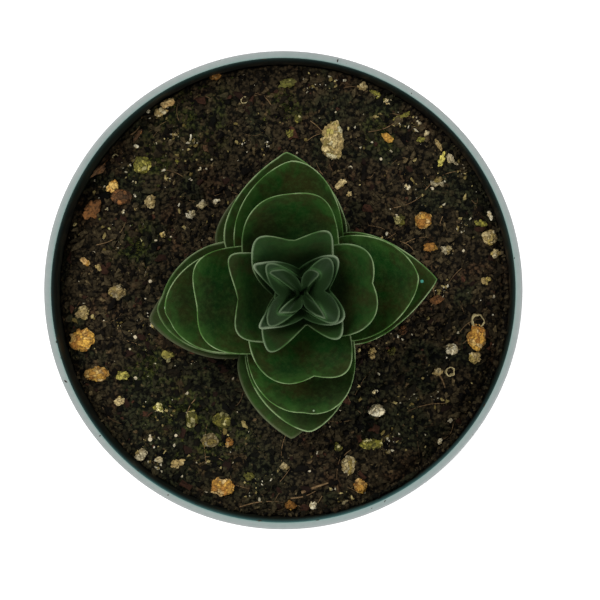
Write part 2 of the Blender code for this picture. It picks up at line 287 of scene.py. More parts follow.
potShape = {
    "segments": 192,
    "rimRadius": 40.0,
    "height": 70.0,
    "floor": 3.4,                # upper side
    "drains": (6, 17.0, 3.0),    # how many, on which circle, and their radius
    "notches": (4, 28.3),
    "notchSize": (8.0, 5.0, 2.4),
}
potProfile = (                   # radius and height, and for arcs their size, first and last turn and steps
    (3.0, 2.0), (26.0, 2.0),
    (26.55, 0.35, 0.35, 180, 270, 3), (27.95, 0.35, 0.35, 270, 350, 3),
    (28.4, 1.0), (38.1, 55.4),
    (38.2, 56.4, 0.9, 280, 350, 4),          # the step under the band
    (39.25, 57.6), (39.7, 67.5),
    (39.6, 69.6, 0.4, 0, 90, 6), (39.05, 69.55, 0.45, 90, 180, 6),
    (38.45, 67.0), (38.0, 57.0), (36.8, 55.5), (27.5, 4.4), (26.4, 3.4), (3.0, 3.4),
)


def potOutline():
    points = []
    for radius, height, *bend in potProfile:
        if not bend:
            points.append((radius, height))
            continue
        size, first, last, steps = bend
        for i in range(steps + 1):
            out, up = around(math.radians(between(first, last, i / steps)), size)
            points.append((radius + out, height + up))
    return points


def makePot():
    outline = potOutline()
    radius, height = outline[0]
    bpy.ops.mesh.primitive_circle_add(
        vertices=potShape["segments"], radius=radius * mm, location=(0, 0, height * mm)
    )
    pot = bpy.context.object
    settle(pot)
    startEdit(pot, action="SELECT")
    for (oldRadius, oldHeight), (radius, height) in zip(outline, outline[1:]):
        bpy.ops.mesh.extrude_region_move(
            TRANSFORM_OT_translate={"value": (0, 0, (height - oldHeight) * mm)}
        )
        ratio = radius / oldRadius
        bpy.ops.transform.resize(value=(ratio, ratio, 1), center_override=(0, 0, height * mm))
    bpy.ops.mesh.select_all(action="DESELECT")
    bpy.ops.mesh.select_non_manifold()
    bpy.ops.mesh.bridge_edge_loops()
    endEdit()
    closeSeams(pot)
    cutPotOpenings(pot)
    closeSeams(pot)
    pot.name = "potShell"
    dress(pot, makePotMaterial(), makePotInsideMaterial())
    floor = potShape["floor"] * mm
    for face in pot.data.polygons:
        outward = Vector((face.center.x, face.center.y, 0)).normalized()
        facesIn = face.normal.dot(outward) < -0.5 and face.center.z > floor
        onFloor = face.normal.z > 0.7 and face.center.z < 2 * floor
        face.material_index = 1 if facesIn or onFloor else 0
    smooth(pot, 35)
    finishPiece(pot, "pot_plastic", "pot")


def cutPotOpenings(pot):
    cutters = []
    count, circle, radius = potShape["drains"]
    for i in range(count):
        x, y = around(math.tau * (i + 0.5) / count, circle * mm)
        bpy.ops.mesh.primitive_cylinder_add(
            vertices=40, radius=radius * mm, depth=8 * mm, location=(x, y, 3 * mm)
        )
        cutters.append(bpy.context.object)
    count, circle = potShape["notches"]
    for i in range(count):
        turn = math.tau * (i + 0.5) / count
        x, y = around(turn, circle * mm)
        bpy.ops.mesh.primitive_cube_add(size=1, location=(x, y, 0), rotation=(0, 0, turn))
        bpy.context.object.scale = [side * mm for side in potShape["notchSize"]]
        cutters.append(bpy.context.object)
    cutter = joined("potCutter", cutters)
    opening = pot.modifiers.new("Openings", "BOOLEAN")
    opening.operation = "DIFFERENCE"
    opening.object = cutter
    opening.solver = "EXACT"
    applyModifiers(pot)
    bpy.data.objects.remove(cutter)


def makePotMaterial():
    material, skin, spot = newMaterial("potPlastic", 0.5, 0.3)
    height, radius = axes(spot)["Z"], radiusOf(spot)
    tone = cloud(spot, 26, 2, 0.5)
    fine = cloud(spot, 900, 4, 0.6)
    plastic = mixed(span(tone, 0.3, 0.7), (116, 126, 124), (124, 130, 127))
    plastic = mixed(span(fine, 0.35, 0.7, 0.0, 0.35), plastic, (104, 117, 114))
    # the lip is greener towards the inside, and paler at its outer edge, which is a painted reflection
    onLip = span(height, 69.2 * mm, 69.6 * mm)
    inwards = times(span(radius, 38.6 * mm, 39.3 * mm, 1.0, 0.0), onLip)
    paintedRimReflection = times(span(radius, 39.5 * mm, 39.95 * mm), onLip)
    # soil dust in the step under the band and at the foot, and dried watering marks down the side
    smear = cloud(spot, 240, 5, 0.65, 0.6)
    step = times(span(height, 50 * mm, 56 * mm), span(height, 56.2 * mm, 58 * mm, 1.0, 0.0))
    foot = span(height, 0.5 * mm, 7 * mm, 1.0, 0.0)
    dusty = times(calc("MAXIMUM", step, foot), span(smear, 0.42, 0.68))
    upright = add("Mapping", {"Vector": spot, "Scale": (1, 1, 0.12)}).outputs[0]
    streak = times(span(cloud(upright, 150, 4, 0.6), 0.56, 0.70), span(height, 69.0 * mm, 66.0 * mm))
    dots = useGroup(specks, spot, Scale=1700.0, Share=0.008)["Mask"]
    plastic = layered(
        plastic,
        (times(inwards, 0.8), (92, 124, 116)),
        # painted reflection: the outer edge of the lip is paler
        (times(paintedRimReflection, 0.5), (146, 146, 146)),
        (times(dusty, 0.4), (84, 78, 64)),
        (times(streak, 0.3), (150, 154, 146)),
        (times(dots, 0.6), (60, 54, 42)),
    )
    plug(skin["Roughness"], span(smear, 0.3, 0.7, 0.42, 0.56))
    coat(skin, plastic, fine, 0.03, 0.5)
    return material


def makePotInsideMaterial():
    material, skin, spot = newMaterial("potInside", 0.6, 0.2)
    across, deep, height = axes(spot)
    dirt = cloud(spot, 420, 5, 0.65)
    damp = span(cloud(spot, 60, 2, 0.5), 0.45, 0.6)
    dark = mixed(span(dirt, 0.4, 0.7), (9, 12, 9), (26, 24, 15))
    dark = mixed(times(damp, 0.6), dark, (14, 26, 18))
    # earth clings to the lowest part on the right, and under the lip at the front the wall shows the
    # plastic's teal with painted light where light falls on it
    lowest = span(height, 64.0 * mm, 66.6 * mm, 1.0, 0.0)
    right = span(across, -10 * mm, 25 * mm, 0.2, 0.9)
    front = span(deep, -38 * mm, -10 * mm, 1.0, 0.25)
    paintedLightUnderLip = span(height, 66.4 * mm, 69.9 * mm)
    splash = useGroup(specks, spot, Scale=900.0, Share=0.12)["Mask"]
    wall = layered(
        dark,
        (times(lowest, right), mixed(span(dirt, 0.42, 0.62), (16, 13, 9), (56, 46, 31))),
        # painted light on the front wall under the lip, in the plastic's teal
        (times(paintedLightUnderLip, front), (48, 78, 77)),
        (times(splash, 0.8), (48, 38, 26)),
    )
    coat(skin, wall, dirt, 0.08, 0.5)
    return material


makePot()
print("pot done")


# Soil: dark peat with a crumbly top that keeps to the frame's level, higher at the back and the front

soilShape = {
    "level": 63.5,
    "steps": 236,                # quads along one side of the top, which becomes a disc
    "radius": 38.05,
    "tilt": 0.9,
    "lumps": ((0.9, 90.0), (0.45, 260.0)),
    "clods": (0.34, 820.0),      # height and how many to a metre
    "grains": (0.26, 1700.0),
    "gutter": (34.6, 1.5),       # where the soil sinks towards the wall, and how far
    "gutterWaves": (0.9, 150),
    "gutterShare": (0.55, 0.45, 0.1),        # of its depth: everywhere, more at the sides, and at least
    "calm": (4, 6, 0.35),        # round the stem: where it ends, how soon, and the least roughness
    "wall": ((0.999, 60.0), (0.985, 57.5), (0.962, 55.3), (0.718, 4.6), (0.69, 3.85)),
}


def soilTop(x, y):
    distance = math.hypot(x, y)
    height = soilShape["level"] * mm
    if distance > 0:
        share = (x * x - y * y) / distance**2
        height -= soilShape["tilt"] * mm * share * (distance / (potShape["rimRadius"] * mm)) ** 2
        start, drop = soilShape["gutter"]
        sink = held((distance - start * mm) / (soilShape["radius"] * mm - start * mm))
        size, frequency = soilShape["gutterWaves"]
        everywhere, sides, least = soilShape["gutterShare"]
        uneven = everywhere + sides * share + size * noise.noise(Vector((x * frequency, y * frequency, 3)))
        height -= drop * mm * sink**2 * max(uneven, least)
    for size, frequency in soilShape["lumps"]:
        height += size * mm * noise.noise(Vector((x * frequency, y * frequency, size * mm * frequency)))
    calmTo, calmOver, least = soilShape["calm"]
    calm = held((distance - calmTo * mm) / (calmOver * mm), least)
    size, frequency = soilShape["clods"]
    near = noise.voronoi(Vector((x * frequency, y * frequency, 0)))[0][0]
    height += size * mm * calm * (0.55 - near)
    size, frequency = soilShape["grains"]
    height += size * mm * calm * noise.fractal(Vector((x * frequency, y * frequency, 7)), 0.8, 2.1, 3)
    return height


def discSpot(u, v):
    # moves a spot of a square grid to its place on a disc
    reach = max(abs(u), abs(v))
    if reach == 0:
        return 0.0, 0.0
    if abs(u) >= abs(v):
        turn = 0.25 * math.pi * v / u
        turn += math.pi if u < 0 else 0
    else:
        turn = 0.5 * math.pi - 0.25 * math.pi * u / v
        turn += math.pi if v < 0 else 0
    return around(turn, reach)


def makeSoil():
    steps = soilShape["steps"]
    bpy.ops.mesh.primitive_grid_add(x_subdivisions=steps, y_subdivisions=steps, size=2)
    soil = bpy.context.object
    soil.name = "pottingSoil"
    for vertex in soil.data.vertices:
        x, y = (part * soilShape["radius"] * mm for part in discSpot(vertex.co.x, vertex.co.y))
        vertex.co = (x, y, soilTop(x, y))
    startEdit(soil, "EDGE")
    bpy.ops.mesh.select_non_manifold()
    before = 1.0
    for ratio, height in soilShape["wall"]:
        bpy.ops.mesh.extrude_region_move(TRANSFORM_OT_translate={"value": (0, 0, 0)})
        step = ratio / before
        bpy.ops.transform.resize(value=(step, step, 0), center_override=(0, 0, height * mm))
        before = ratio
    bpy.ops.mesh.edge_face_add()
    endEdit()
    closeSeams(soil)
    smooth(soil, 180)
    dress(soil, soilMaterial)
    finishPiece(soil, "soil", "soil")


paintedShadePatches = (                  # place and radius of the painted shade on the soil round and under the plant
    (-17.0, -22.0, 16.0),
    (-8.0, -11.0, 19.0),
    (-5.0, -31.0, 8.0),
    (13.0, -17.0, 9.0),
)
mossPatches = (                  # place and radius of the mossy parts
    (-15.5, 29.0, 8.5),
    (-21.0, 22.0, 6.0),
    (-17.0, -20.0, 8.0),
    (-11.0, -26.0, 6.5),
    (-25.0, 8.0, 5.0),
    (-23.0, -13.0, 5.0),
    (17.0, 27.0, 4.5),
    (0.5, 31.0, 4.5),
)


def patchMask(spot, patches):
    mask = 0.0
    for x, y, radius in patches:
        middle = (x * mm, y * mm, soilShape["level"] * mm)
        away = add("VectorMath", {0: spot, 1: middle}, operation="DISTANCE").outputs["Value"]
        near = span(away, 0.2 * radius * mm, 1.2 * radius * mm, 1.0, 0.0)
        mask = calc("MAXIMUM", mask, near)
    return mask


def tinted(spot, earth, grains):
    # damp green-black areas, with painted shade round the plant, and rusty ones, the same in the ground and
    # in the crumbs that lie on it
    damp = span(cloud(spot, 120, 2, 0.5), 0.50, 0.60)
    # painted shade: these patches darken the soil round the plant in the same colours as the damp
    damp = calc("MAXIMUM", damp, patchMask(spot, paintedShadePatches))
    rust = span(cloud(spot, 190, 4, 0.65, 0.4), 0.54, 0.66)
    return layered(
        earth,
        (times(damp, 0.76), mixed(grains, (3, 4, 2), (34, 38, 22))),
        (times(rust, 0.55), mixed(grains, (10, 6, 3), (68, 48, 31))),
    )


def makeSoilMaterial():
    material, skin, spot = newMaterial("pottingMix", 0.92, 0.09)
    grain = useGroup(earthGrain, spot, Scale=1500.0)
    grains = span(grain["Grains"], 0.14, 0.46)
    pale = span(cloud(spot, 900, 2, 0.5), 0.66, 0.76)
    green = times(patchMask(spot, mossPatches), span(grain["Patches"], 0.42, 0.6))
    dust = useGroup(specks, spot, Scale=1150.0, Share=0.03)["Mask"]
    earth = layered(
        tinted(spot, mixed(grains, (5, 4, 2), (48, 40, 26)), grains),
        (times(pale, 0.55), (104, 84, 56)),
        (times(green, 0.85), mixed(grains, (12, 18, 6), (56, 60, 24))),
        (dust, (170, 158, 130)),
    )
    coat(skin, earth, grain["Grains"], 0.25, 0.9)
    return material


soilMaterial = makeSoilMaterial()
makeSoil()
print("soil done")


# Loose bits on the soil: crumbs, bark chips, pale grains, moss and roots

def earthCrumbMaterial(name, dark, light, roughness=0.9, earthy=False):
    material, skin, spot = newMaterial(name, roughness, 0.09)
    grain = useGroup(earthGrain, spot, Scale=2200.0)
    share = times(span(grain["Grains"], 0.0, 0.6, 0.3, 1.0), readField(spot, "tint"))
    earth = mixed(share, dark, light)
    if earthy:
        earth = tinted(spot, earth, share)
    coat(skin, earth, grain["Grains"], 0.12, 0.8)
    return material


crumbShape = {"dents": (0.5, 3.1), "sizeBias": 2.2, "tilt": 0.5, "stretch": (0.7, 1.9)}
tuftShape = {"blades": 5, "spread": 0.28, "lift": 0.4, "lean": 0.5, "length": 1.1, "radii": (0.2, 0.02)}


def makeCrumbModel(name, seed):
    # a small angular grain
    bpy.ops.mesh.primitive_ico_sphere_add(subdivisions=1, radius=0.5)
    crumb = bpy.context.object
    crumb.name = name
    dent, frequency = crumbShape["dents"]
    for vertex in crumb.data.vertices:
        vertex.co += dent * noise.noise_vector(vertex.co * frequency + Vector((seed * 5.1, 0, 0)))
    return crumb


def scatter(name, models, material, count, seed, sizes, flatness, sink, spotRule):
    draw = random.Random(seed)
    tilt = crumbShape["tilt"]
    copies = []
    for i in range(count):
        x, y, *lift = spotRule(draw)
        model = models[i % len(models)]
        size = between(*sizes, draw.random() ** crumbShape["sizeBias"]) * mm
        turn = Euler([draw.uniform(-tilt, tilt), draw.uniform(-tilt, tilt), draw.uniform(0, math.tau)])
        stretch = Vector((size * draw.uniform(*crumbShape["stretch"]), size, size * flatness))
        spot = Vector((x, y, soilTop(x, y) + sum(lift) + sink * size))
        copy = newPiece(name, model.data.copy())
        copy.data.transform(Matrix.LocRotScale(spot, turn, stretch))
        setField(copy, "tint", draw.random() ** 2)
        copies.append(copy)
    whole = joined(name, copies)
    dress(whole, material)
    finishPiece(whole, "soil")


looseRing = (5.5, 37.2)          # the radii between which loose bits lie
clusterShape = {"strays": 0.3, "seed": 900, "groups": 46, "spread": (0.5, 1.8), "reach": 37}
wallEarth = {"turn": -0.6, "spread": 0.75, "radius": 37.9, "climb": 5.2, "fade": 0.9, "waves": (0.4, 160)}


def anywhere(draw):
    reach = between(*looseRing, math.sqrt(draw.random())) * mm
    return around(draw.uniform(0, math.tau), reach)


def inClusters(draw):
    # most of the pale bits lie in loose groups, whose middles a fixed draw gives
    if draw.random() < clusterShape["strays"]:
        return anywhere(draw)
    group = random.Random(clusterShape["seed"] + draw.randrange(clusterShape["groups"]))
    x, y = anywhere(group)
    spread = group.uniform(*clusterShape["spread"]) * mm
    x, y = x + draw.gauss(0, spread), y + draw.gauss(0, spread)
    ratio = min(1, clusterShape["reach"] * mm / math.hypot(x, y))
    return x * ratio, y * ratio


def onMoss(draw):
    middleX, middleY, radius = mossPatches[draw.randrange(len(mossPatches))]
    turn = draw.uniform(0, math.tau)
    x, y = around(turn, radius * abs(draw.gauss(0, 0.5)))
    x, y = middleX + x, middleY + y
    ratio = min(1, clusterShape["reach"] / math.hypot(x, y))
    return x * ratio * mm, y * ratio * mm


def againstWall(draw):
    # soil that clings to the wall, highest at the front right
    turn = draw.gauss(wallEarth["turn"], wallEarth["spread"])
    x, y = around(turn, wallEarth["radius"] * mm)
    size, frequency = wallEarth["waves"]
    uneven = 1 + size * noise.noise(Vector((x, y, 0)) * frequency)
    away = (turn - wallEarth["turn"]) / wallEarth["fade"]
    return x, y, draw.random() * wallEarth["climb"] * mm * math.exp(-away**2) * uneven


def makeMossTuft():
    blades = []
    count, spread = tuftShape["blades"], tuftShape["spread"]
    foot, tip = tuftShape["radii"]
    for i in range(count):
        x, y = around(math.tau * i / count, 1)
        lean = tuftShape["lean"] if i else 0.0
        bpy.ops.mesh.primitive_cone_add(
            vertices=4, radius1=foot, radius2=tip, depth=tuftShape["length"],
            location=(spread * x, spread * y, tuftShape["lift"]), rotation=(-lean * y, lean * x, 0),
        )
        blades.append(bpy.context.object)
    tuft = joined("mossTuft", blades)
    settle(tuft)
    return tuft


def makeLooseBits():
    crumbs = [makeCrumbModel(f"crumb{i}", i) for i in range(9)]
    tuft = makeMossTuft()
    darkEarth = earthCrumbMaterial("peatCrumb", (4, 3, 2), (80, 69, 47), earthy=True)
    brownEarth = earthCrumbMaterial("brownCrumb", (11, 9, 4), (110, 94, 63), earthy=True)
    bark = earthCrumbMaterial("barkChip", (20, 12, 8), (76, 48, 33))
    straw = earthCrumbMaterial("strawGrain", (84, 72, 36), (190, 172, 116))
    perlite = earthCrumbMaterial("perliteSpeck", (140, 132, 108), (222, 214, 190))
    moss = earthCrumbMaterial("mossGreen", (16, 22, 6), (84, 86, 36))
    # name, models, material, count, seed, sizes, flatness, sink and rule
    scatter("peatCrumbs", crumbs, darkEarth, 5600, 11, (0.2, 1.25), 0.75, 0.10, anywhere)
    scatter("brownCrumbs", crumbs, brownEarth, 1700, 16, (0.18, 0.8), 0.7, 0.18, anywhere)
    scatter("barkChips", crumbs, bark, 240, 12, (0.4, 1.5), 0.4, 0.18, anywhere)
    scatter("strawGrains", crumbs, straw, 420, 13, (0.15, 0.75), 0.8, 0.25, inClusters)
    scatter("perliteSpecks", crumbs, perlite, 380, 14, (0.1, 0.45), 0.8, 0.3, inClusters)
    scatter("wallCrumbs", crumbs, darkEarth, 1500, 18, (0.25, 0.9), 0.8, 0.10, againstWall)
    scatter("mossTufts", [tuft], moss, 700, 15, (0.25, 0.6), 0.8, 0.05, onMoss)
    for model in [*crumbs, tuft]:
        bpy.data.objects.remove(model)


lipDirt = (                      # place, length, width and turn of the dirt that sticks to the lip
    (9.1, 38.4, 0.7, 0.35, 80),
    (-36.4, -15.2, 0.8, 0.4, 150),
    (-3.9, -38.5, 0.9, 0.35, 5),
    (-37.9, -8.6, 0.45, 0.3, 100),
    (-30.6, -24.3, 0.5, 0.3, 40),
    (-19.2, -34.2, 0.45, 0.3, 20),
    (21.4, 32.9, 0.4, 0.25, 120),
    (38.6, 5.4, 0.4, 0.25, 90),
    (17.0, -35.2, 0.6, 0.25, 60),
    (14.8, -36.4, 0.4, 0.2, 40),
    (5.8, -38.4, 0.8, 0.2, 10),
)


def makeLipDirt():
    crumb = makeCrumbModel("dirt", 3)
    bits = []
    for x, y, length, width, turn in lipDirt:
        spot = Vector((x, y, potShape["height"] - 0.02)) * mm
        turned = Euler((0, 0, math.radians(turn)))
        bit = newPiece("lipDirt", crumb.data.copy())
        bit.data.transform(Matrix.LocRotScale(spot, turned, Vector((length, width, 0.5 * width)) * mm))
        bits.append(bit)
    dirt = joined("lipDirt", bits)
    bpy.data.objects.remove(crumb)
    setField(dirt, "tint", 0.5)
    dress(dirt, earthCrumbMaterial("dirtSpeck", (20, 16, 12), (74, 66, 54)))
    finishPiece(dirt, "soil")


rootShape = {
    "count": 75,
    "length": (2.0, 7.0),
    "radius": (0.035, 0.09),
    "bend": 0.3,
    "lift": (0.9, 2.5),          # off the soil in radii, at the ends and more in the middle
    "taper": 0.5,
    "reach": 36.5,
    "steps": 7,
    "seed": 21,
}
namedRoots = (                   # start, end, radius and bend of the roots and sticks that stand out
    (-7.4, -36.7, -0.1, -35.9, 0.13, 0.5),
    (20.2, 29.5, 14.1, 26.8, 0.11, 0.7),
    (26.0, -13.8, 27.4, -16.6, 0.18, 0.2),
    (3.1, -34.2, 7.6, -32.6, 0.28, 0.1),
    (1.2, -35.2, 5.4, -34.0, 0.16, -0.3),
    (9.7, -29.0, 11.8, -26.8, 0.10, 0.3),
    (-26.0, 26.4, -24.4, 27.9, 0.12, -0.2),
    (24.0, 17.0, 30.2, 20.4, 0.08, 0.8),
)


def rootLine(curve, start, end, radius, bend):
    line = curve.splines.new("NURBS")
    line.points.add(rootShape["steps"])
    across = Vector((start.y - end.y, end.x - start.x, 0)).normalized()
    low, high = rootShape["lift"]
    for i, point in enumerate(line.points):
        share = i / rootShape["steps"]
        arch = math.sin(math.pi * share)
        spot = start.lerp(end, share) + across * bend * arch
        lift = radius * (low + high * arch * (i % 2))
        point.co = (spot.x, spot.y, soilTop(spot.x, spot.y) + lift, 1)
        point.radius = radius / mm * (1 - rootShape["taper"] * share)
    line.use_endpoint_u = True
    line.order_u = 3


def makeRoots():
    curve = bpy.data.curves.new("rootFibres", "CURVE")
    curve.dimensions = "3D"
    curve.bevel_depth = 1 * mm
    curve.bevel_resolution = 1
    curve.resolution_u = 3
    curve.use_fill_caps = True
    draw = random.Random(rootShape["seed"])
    reach = rootShape["reach"] * mm
    for i in range(rootShape["count"]):
        start = Vector((*anywhere(draw), 0))
        turn = draw.uniform(0, math.tau)
        length = draw.uniform(*rootShape["length"]) * mm
        end = start + Vector((*around(turn, 1), 0)) * length
        if end.length > reach:
            end = end.normalized() * reach
        radius = draw.uniform(*rootShape["radius"]) * mm
        bend = draw.uniform(-rootShape["bend"], rootShape["bend"]) * length
        rootLine(curve, start, end, radius, bend)
    for x, y, endX, endY, radius, bend in namedRoots:
        rootLine(curve, Vector((x, y, 0)) * mm, Vector((endX, endY, 0)) * mm, radius * mm, bend * mm)
    pickOnly(newPiece("rootFibres", curve))
    bpy.ops.object.convert(target="MESH")
    roots = bpy.context.object
    setField(roots, "tint", [0.5 + 0.5 * noise.noise(vertex.co * 300) for vertex in roots.data.vertices])
    dress(roots, earthCrumbMaterial("rootFibre", (48, 34, 22), (150, 122, 84)))
    finishPiece(roots, "soil")


makeLooseBits()
makeLipDirt()
makeRoots()
print("loose bits and roots done")


# Stones: the frame's loose stones with a rough, pitted surface, and smaller ones between them

stoneTones = {                   # main and second colour, pits (the colour of dark grains and of the painted shade in pits and creases), stain and how much the palest grains show
    "pumice": ((206, 188, 134), (160, 138, 88), (66, 54, 30), (150, 140, 70), 0.5),
    "orange": ((196, 152, 66), (152, 104, 46), (76, 50, 24), (202, 166, 92), 0.2),
    "cream": ((186, 168, 122), (140, 120, 76), (66, 54, 34), (156, 136, 72), 0.5),
    "green": ((110, 104, 40), (72, 70, 30), (30, 29, 14), (172, 160, 78), 0.3),
    "white": ((208, 200, 172), (166, 154, 122), (94, 82, 60), (180, 164, 120), 0.5),
    "bark": ((90, 63, 39), (58, 42, 28), (24, 17, 11), (130, 86, 47), 0.0),
}
stoneShades = {                  # how dark or bright a stone of the frame is for its kind
    2: 0.85, 4: 1.1, 5: 0.75, 6: 0.7, 7: 0.7, 8: 0.4, 10: 1.15, 11: 1.3, 12: 0.8, 13: 1.15, 14: 1.3, 18: 0.7,
}
littleStones = {                 # kind, then place, length, width, turn in degrees and brightness
    "orange": (
        (17.6, 25.8, 2.5, 1.3, -40, 0.9), (24.8, 7.3, 2.5, 1.7, 10, 0.8), (-19.6, 31.7, 2.5, 1.4, 25, 1.0),
        (-29.1, 17.5, 2.4, 2.0, 20, 1.3), (-11.6, 36.2, 2.0, 1.4, 15, 0.7),
        (-9.1, -25.7, 2.0, 1.5, 40, 0.6), (1.1, -36.4, 2.0, 1.4, 0, 0.5), (-33.7, 4.9, 1.9, 1.2, -35, 1.0),
    ),
    "cream": (
        (26.3, 18.3, 1.9, 1.9, 20, 0.6), (9.7, 18.1, 2.6, 1.1, 38, 1.3), (11.1, 16.3, 1.0, 1.0, 0, 1.3),
        (13.3, 34.4, 2.0, 1.5, 0, 1.0), (36.0, 6.3, 1.7, 1.7, 0, 1.2), (34.3, 1.7, 1.7, 1.5, 30, 1.0),
        (27.7, 6.8, 1.7, 1.5, 0, 0.7), (-20.9, 30.2, 2.5, 1.4, 10, 1.5), (-22.6, 15.0, 2.0, 2.7, 20, 1.0),
        (-20.4, 9.4, 1.2, 1.2, 0, 1.5), (-34.1, -4.0, 3.0, 2.4, 30, 1.0),
        (-27.9, -18.9, 2.0, 1.4, 20, 1.2), (-24.1, -27.9, 2.4, 1.7, 60, 0.8),
        (-18.0, -29.3, 2.4, 1.5, 15, 1.2), (0.2, -29.9, 1.7, 1.4, 0, 0.7),
        (32.4, -11.3, 2.4, 2.0, 30, 1.2), (15.0, -10.6, 1.5, 2.4, 0, 1.2), (26.0, -13.8, 1.7, 1.5, 0, 1.0),
        (17.7, -27.4, 1.2, 1.0, 0, 0.4), (17.5, 32.0, 1.6, 1.1, -20, 1.1),
        (26.3, 24.7, 2.4, 0.8, -60, 1.0), (-31.4, 3.9, 1.4, 0.9, -60, 1.0),
        (-18.4, 26.4, 1.2, 1.0, 0, 1.0), (-25.2, 13.8, 0.9, 0.7, 0, 1.0),
    ),
    "green": (
        (19.6, 11.9, 2.2, 2.2, 0, 0.7), (20.0, 29.4, 3.4, 1.0, 25, 1.6), (15.9, 33.1, 3.0, 1.1, -35, 1.7),
        (26.8, 22.0, 2.8, 1.1, 70, 1.8), (0.8, 35.1, 3.4, 1.7, 15, 1.4), (2.5, 28.9, 1.7, 1.5, 0, 0.8),
        (1.1, 26.6, 1.7, 1.5, 50, 1.4), (-27.4, -14.5, 2.4, 1.7, 0, 1.6), (-21.4, -19.9, 2.0, 1.7, 0, 2.0),
        (-19.6, -11.0, 2.4, 1.7, 0, 0.6), (-5.7, -31.5, 2.0, 1.5, 0, 1.2), (18.4, -10.4, 1.5, 1.5, 0, 0.8),
        (9.2, -26.5, 1.9, 1.5, 20, 1.2), (23.3, 25.5, 1.7, 1.0, 10, 1.6), (33.4, 11.4, 2.4, 1.1, -15, 1.9),
        (-30.9, 11.9, 1.4, 1.1, 0, 1.2), (-29.6, 10.0, 0.7, 2.4, 10, 1.9), (-23.9, 8.2, 1.0, 2.2, 0, 1.5),
        (-18.0, 21.8, 1.0, 0.8, 0, 1.4),
    ),
    "white": (
        (21.1, 17.5, 1.0, 1.0, 0, 1.2), (28.3, 22.4, 2.0, 1.2, -50, 1.0), (35.3, 12.8, 1.5, 1.5, 0, 1.3),
        (-11.4, 15.1, 1.4, 1.4, 0, 1.0), (-13.8, 14.6, 2.0, 1.5, 20, 0.8),
        (-15.7, 12.8, 2.0, 1.7, 60, 0.8), (-21.1, -28.6, 1.4, 1.2, 0, 1.0),
        (15.5, -17.2, 1.4, 1.0, 40, 1.5), (5.0, -36.4, 1.5, 1.4, 0, 1.2), (26.5, -25.7, 1.4, 1.0, 60, 1.5),
        (28.4, -22.0, 1.0, 1.0, 0, 1.0), (10.4, -35.9, 1.4, 1.2, 0, 0.5), (22.9, 28.4, 1.1, 0.7, -40, 1.2),
        (24.2, 26.6, 1.2, 1.0, 50, 1.1), (29.4, 21.4, 1.3, 0.6, -50, 1.0),
        (-25.0, 24.5, 1.0, 0.6, -30, 1.2), (-25.2, 18.5, 0.9, 0.7, 30, 1.2),
        (-23.0, 30.4, 1.1, 0.8, 60, 0.9), (-30.0, 13.9, 0.6, 0.9, 20, 0.9),
        (-27.1, 13.4, 0.8, 0.7, 0, 1.0), (-14.2, 20.5, 0.8, 0.7, 0, 1.0), (-9.9, 18.9, 0.8, 0.6, 30, 0.9),
    ),
    "bark": (
        (-30.9, 20.8, 4.6, 1.2, 40, 1.9), (-32.4, 13.9, 4.2, 2.4, 60, 0.95),
        (26.0, -1.6, 2.5, 1.5, 20, 0.8), (20.2, -6.7, 1.7, 1.4, 50, 0.5),
        (-13.1, 24.0, 1.5, 1.0, -45, 1.4), (-24.8, 26.3, 2.6, 0.9, 60, 1.5),
    ),
}
husks = (                        # open round husks: place and radius
    (32.9, -5.2, 1.15),
    (28.2, -13.8, 0.85),
    (-6.7, 32.2, 0.6),
    (-28.6, 22.7, 0.5),
)
huskShape = {"sunk": 0.35, "opening": (0.25, -0.2, 1), "wall": 0.12, "crumple": (0.28, 1.3)}
stoneRelief = {                  # in millimetres, or in shares of a stone's width or of a grain
    "grains": 1.9,
    "warp": (0.45, 1.7),         # height and how many to a millimetre
    "creaseWidth": 0.22,
    "swelling": (0.12, 0.9),
    "bulge": 0.16,
    "crease": 0.14,
    "pits": (0.14, 2.4),
}
chipShape = {                    # shares of a little stone's width
    "counts": (3, 6),
    "widths": (0.42, 0.68),
    "stretch": (1.0, 1.5),
    "flatness": 0.8,
    "spread": 0.30,
    "lift": (0.12, 0.14),        # shares of its own width and, at the most, of the stone's
    "coreLift": 0.25,
    "unevenness": (0.55, 2.2),
    "core": (0.9, 0.85, 0.7),
    "longFrom": 1.4,
    "fewUnder": 1.3,             # millimetres
}


def makeStoneMaterial(kind):
    main, second, pit, stain, glint = stoneTones[kind]
    material, skin, spot = newMaterial("stone_" + kind, 0.9, 0.12)
    grain = useGroup(earthGrain, spot, Scale=2600.0)
    # a stone is grown together from grains, each with a tone of its own; its pits and creases get painted
    # shade, and soil lies on it in patches
    tint = readField(spot, "tint")
    tones = add("SeparateColor", {0: cells(spot, 2600)["Color"]}).outputs
    pits = span(grain["Grains"], 0.04, 0.24, 1.0, 0.0)
    crease = span(readField(spot, "crease"), 0.3, 0.9)
    soiled = span(cloud(spot, 900, 4, 0.65), 0.52, 0.66)
    rock = layered(
        main,
        (span(tint, 0.25, 0.45), second),
        (span(tint, 0.55, 0.7), stain),
        (span(tint, 0.82, 0.9, 0.0, glint), (220, 212, 186)),
        (span(grain["Patches"], 0.4, 0.6, 0.0, 0.6), second),
        (span(tones[1], 0.55, 0.95, 0.0, 0.4), pit),
        # painted shade in the pits and the creases between grains
        (calc("MAXIMUM", times(pits, 0.8), times(crease, 0.7)), pit),
        (times(soiled, 0.45), (52, 42, 28)),
    )
    shade = {0: rock, "Scale": readField(spot, "shade")}
    rock = add("VectorMath", shade, operation="SCALE").outputs["Vector"]
    coat(skin, rock, grain["Grains"], 0.16, 0.9)
    return material


